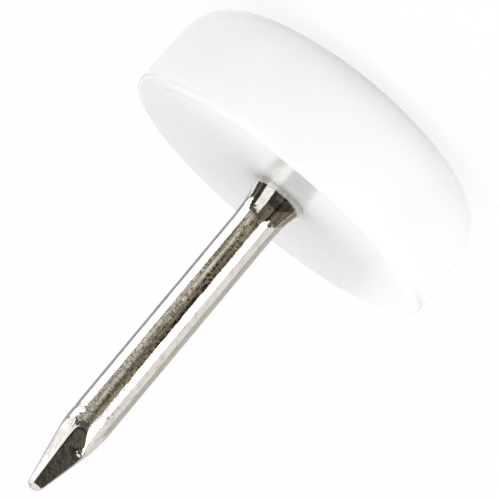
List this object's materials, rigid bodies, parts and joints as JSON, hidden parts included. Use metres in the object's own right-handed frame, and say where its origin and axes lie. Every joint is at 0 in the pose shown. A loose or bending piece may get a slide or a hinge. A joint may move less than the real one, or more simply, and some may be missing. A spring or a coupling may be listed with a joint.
{
  "type": "furniture glide",
  "caption": "Round moulded plastic furniture glide on a steel nail, with a crowned sliding face and a pinched nail point; it is driven into the foot of a chair or table leg.",
  "frame": {"origin": "middle of the glide face, which stands on the floor", "axes": "+Z along the nail, towards its point; the nail's point faces -Y with its widest facet"},
  "size_m": [0.02, 0.02, 0.0286],
  "materials": {
    "white_plastic": "milky white, smooth as moulded",
    "nickel_plate": "bright nickel plate over drawn steel wire"
  },
  "bodies": {
    "root": {"glide_disc": "white_plastic", "nail": "nickel_plate"}
  },
  "joints": []
}
